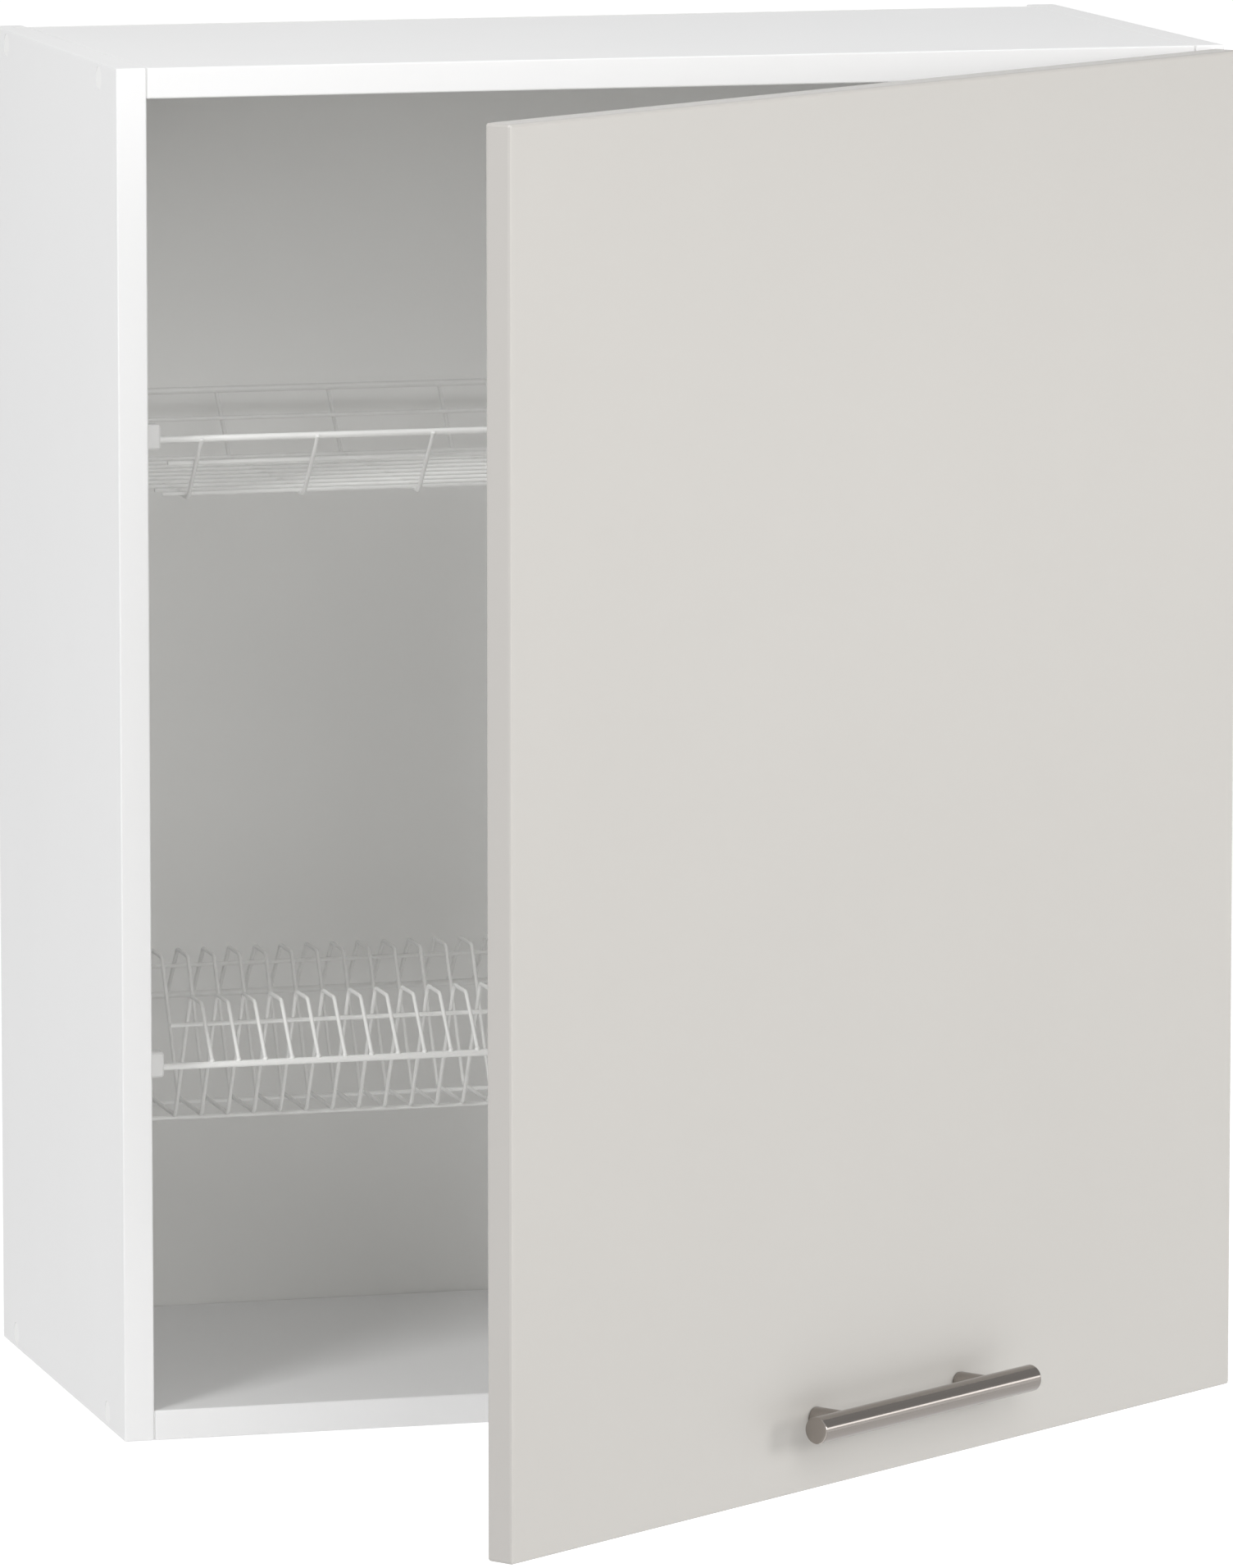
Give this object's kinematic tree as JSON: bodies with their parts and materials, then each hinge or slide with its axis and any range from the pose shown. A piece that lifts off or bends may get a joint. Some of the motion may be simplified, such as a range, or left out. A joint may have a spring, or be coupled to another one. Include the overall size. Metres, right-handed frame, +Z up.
{
  "type": "dish drying cabinet",
  "caption": "Wall cabinet for drying dishes, with a hinged door, a bar handle, a wire basket for cups and, below it, a wire rack for plates.",
  "frame": {"origin": "on the wall plane, midway between the side panels, at the height where the hooks sit on the wall rail", "axes": "+X to the right as seen from the front, +Y into the wall, +Z up"},
  "size_m": [0.6035, 0.6569, 0.72],
  "materials": {
    "melamine_white": "white melamine-faced particle board, satin",
    "back_board_white": "white faced hardboard, satin",
    "door_warm_white": "warm white faced board, smooth satin",
    "moulded_white": "white moulded plastic, semi-gloss",
    "coated_wire_white": "white plastic-coated steel wire, gloss",
    "satin_steel": "satin brushed steel",
    "nickel_plate": "nickel-plated steel",
    "zinc_steel": "zinc-plated steel",
    "clear_rubber": "clear soft button"
  },
  "bodies": {
    "cabinet": {"side_panel_left": "melamine_white", "side_panel_right": "melamine_white", "top_panel": "melamine_white", "bottom_panel": "melamine_white", "back_panel": "back_board_white", "panel_screw_left_top_front": "zinc_steel", "panel_screw_left_top_rear": "zinc_steel", "panel_screw_left_bottom_front": "zinc_steel", "panel_screw_left_bottom_rear": "zinc_steel", "cover_cap_left_top_front": "moulded_white", "cover_cap_left_top_rear": "moulded_white", "cover_cap_left_bottom_front": "moulded_white", "cover_cap_left_bottom_rear": "moulded_white", "cup_front_holder_left": "moulded_white", "cup_rear_holder_left": "moulded_white", "plate_front_holder_left": "moulded_white", "plate_rear_holder_left": "moulded_white", "hanger_housing_left": "moulded_white", "hanger_hook_left": "zinc_steel", "panel_screw_right_top_front": "zinc_steel", "panel_screw_right_top_rear": "zinc_steel", "panel_screw_right_bottom_front": "zinc_steel", "panel_screw_right_bottom_rear": "zinc_steel", "cover_cap_right_top_front": "moulded_white", "cover_cap_right_top_rear": "moulded_white", "cover_cap_right_bottom_front": "moulded_white", "cover_cap_right_bottom_rear": "moulded_white", "cup_front_holder_right": "moulded_white", "cup_rear_holder_right": "moulded_white", "plate_front_holder_right": "moulded_white", "plate_rear_holder_right": "moulded_white", "hanger_housing_right": "moulded_white", "hanger_hook_right": "zinc_steel", "cup_rack": "coated_wire_white", "plate_rack": "coated_wire_white", "hinge_arm_upper": "nickel_plate", "hinge_plate_upper": "nickel_plate", "plate_screw_upper_top": "nickel_plate", "plate_screw_upper_bottom": "nickel_plate", "hinge_arm_lower": "nickel_plate", "hinge_plate_lower": "nickel_plate", "plate_screw_lower_top": "nickel_plate", "plate_screw_lower_bottom": "nickel_plate"},
    "door": {"door_panel": "door_warm_white", "handle_bar": "satin_steel", "handle_post_left": "satin_steel", "handle_post_right": "satin_steel", "handle_screw_left": "satin_steel", "handle_screw_right": "satin_steel", "hinge_cup_upper": "nickel_plate", "hinge_pin_upper": "nickel_plate", "cup_screw_upper_top": "nickel_plate", "cup_screw_upper_bottom": "nickel_plate", "door_buffer_upper": "clear_rubber", "hinge_cup_lower": "nickel_plate", "hinge_pin_lower": "nickel_plate", "cup_screw_lower_top": "nickel_plate", "cup_screw_lower_bottom": "nickel_plate", "door_buffer_lower": "clear_rubber"}
  },
  "joints": [
    {"name": "door_swing", "type": "hinge", "parent": "cabinet", "child": "door", "pos_m": [0.2934, -0.3073, 0], "axis": [0, 0, 1], "range_deg": [-35.2, 64.8]}
  ]
}
